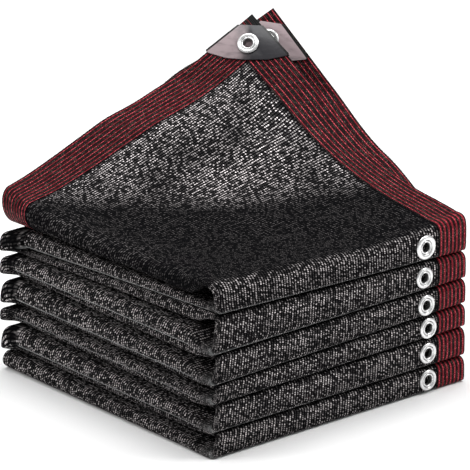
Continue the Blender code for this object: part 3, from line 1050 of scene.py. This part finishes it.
def studio():
    """Pale floor, overhead soft box and fill lights, and the camera."""
    bpy.ops.mesh.primitive_plane_add(size=16.0, location=(0.0, 0.0, 0.0))
    floor = bpy.context.object
    floor.name = "floor"
    pale, _, shader = finish("pale_floor", 0.7)
    shader.inputs["Base Color"].default_value = grey(FLOOR_GREY)
    shader.inputs["Specular IOR Level"].default_value = 0.1
    floor.data.materials.append(pale)
    world = bpy.data.worlds.new("studio")
    world.use_nodes = True
    sky = world.node_tree.nodes["Background"]
    sky.inputs["Color"].default_value = grey(1.0)
    sky.inputs["Strength"].default_value = SKY
    bpy.context.scene.world = world
    for name, place, size, watts in LIGHTS:
        lamp = bpy.data.lights.new(name, "AREA")
        lamp.size = size
        lamp.energy = watts
        stand = bpy.data.objects.new(name, lamp)
        stand.location = place
        aim = Vector((0.0, 0.0, 0.12)) - Vector(place)
        stand.rotation_euler = aim.to_track_quat("-Z", "Y").to_euler()
        bpy.context.scene.collection.objects.link(stand)
    view = bpy.data.cameras.new("camera")
    view.lens = LENS
    view.sensor_width = 36.0
    view.clip_end = 50.0
    stand = bpy.data.objects.new("camera", view)
    azimuth, elevation = (math.radians(angle) for angle in VIEW)
    level_way = Vector((math.sin(azimuth), -math.cos(azimuth), 0.0))
    away = level_way * math.cos(elevation) + UP * math.sin(elevation)
    stand.location = Vector(LOOK_AT) + away * FAR
    stand.rotation_euler = (-away).to_track_quat("-Z", "Y").to_euler()
    bpy.context.scene.collection.objects.link(stand)
    bpy.context.scene.camera = stand
    bpy.context.scene.view_settings.view_transform = "Standard"


def cloth_pieces(knit, tape):
    """The cloth, its eyelet strip and its tapes, by the solid that each stands for."""
    inner = SIDE - TAPE
    top_cut = TOP_LAYER + TOP_TAPE
    seam = JOIN / 2
    body = fine_runs(0.0, top_cut + SEAM_LAP / (SIDE - START))
    panel = fine_acrosses(-inner - SEAM_LAP, inner - BAND)
    strip = even_steps(inner - BAND + seam, inner + SEAM_LAP, 8)
    over = even_steps(inner, SIDE, 6)
    under = even_steps(-SIDE, -inner, 6)
    end = even_steps(top_cut, TOP_LAYER + 1.0, 6)
    both = fine_acrosses(-inner + seam, inner - seam)
    made = {
        "cloth": sheet_piece("folded_cloth", body, panel, THIN, knit),
        "eyelet_band": sheet_piece("eyelet_strip", body, strip, THIN, knit),
        "edge_tape_outer": sheet_piece("outer_edge_tape", fine_runs(), over, THICK, tape),
        "edge_tape_inner": sheet_piece("inner_edge_tape", fine_runs(), under, THICK, tape),
        "end_tape": sheet_piece("top_end_tape", end, both, THICK, tape),
    }
    for node in ("edge_tape_outer", "edge_tape_inner", "end_tape"):
        tape_coordinates(made[node], node != "end_tape")
    return made


def side_eyelets(band, metal):
    made = {}
    for number, (across, height, radius) in enumerate(EYELETS, 1):
        middle = Vector((LEFT_X + across, FRONT_Y, height))
        place = place_on(middle, Vector((1.0, 0.0, 0.0)), Vector((0.0, -1.0, 0.0)))
        punch(band, HOLE_RADIUS + BARREL + JOIN / 2, place)
        made[f"eyelet_{number}"] = eyelet(f"side_eyelet_{number}", radius, CLOTH, place, metal)
    return made


def corner_pieces(name, sheet, tape_strip, plastic, metal):
    """A raised corner's two plates and the eyelet through them."""
    made = {}
    tip, aside, normal = corner_frame(sheet)
    side = (aside - normal * aside.dot(normal)).normalized()
    upward = normal.cross(side).normalized()
    spot = tip - upward * CORNER_EYELET_DROP
    face = place_on(tip - upward * PLATE_DROPS[name], side, normal)
    hole_at = PLATE_DROPS[name] - CORNER_EYELET_DROP
    stand_off = CLOTH / 2 + JOIN / 2 + PLATE / 2
    for where, sign in (("front", 1.0), ("back", -1.0)):
        shifted = Matrix.Translation(normal * stand_off * sign) @ face
        made[f"corner_plate_{name}_{where}"] = plate(f"{name}_plate_{where}", shifted, hole_at, plastic)
    punch(tape_strip, HOLE_RADIUS + BARREL + JOIN / 2, place_on(spot, side, normal))
    top = CLOTH / 2 + JOIN + PLATE
    place = place_on(spot + normal * top, side, normal)
    made[f"corner_eyelet_{name}"] = eyelet(
        f"{name}_corner_eyelet", CORNER_EYELET_RADIUS, 2 * top, place, metal
    )
    return made


def main():
    floats = yarn_floats()
    top_cut = TOP_LAYER + TOP_TAPE
    knit = knit_finish("black_knit", floats, length_marks(fine_runs(0.0, top_cut))[-1])
    metal = metal_finish("eyelet_metal")
    front_plastic = plastic_finish("smoked_plastic_front", *FRONT_PLATE_LOOK)
    rear_plastic = plastic_finish("smoked_plastic_rear", *REAR_PLATE_LOOK)

    pieces = cloth_pieces(knit, tape_finish("striped_tape", floats))
    pieces.update(side_eyelets(pieces["eyelet_band"], metal))
    corners = (("outer", outer_sheet, front_plastic), ("inner", inner_sheet, rear_plastic))
    for name, sheet, plastic in corners:
        pieces.update(corner_pieces(name, sheet, pieces[f"edge_tape_{name}"], plastic, metal))

    for node, piece in pieces.items():
        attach(piece, "root")
        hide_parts(node)
    return pieces


made = main()
studio()
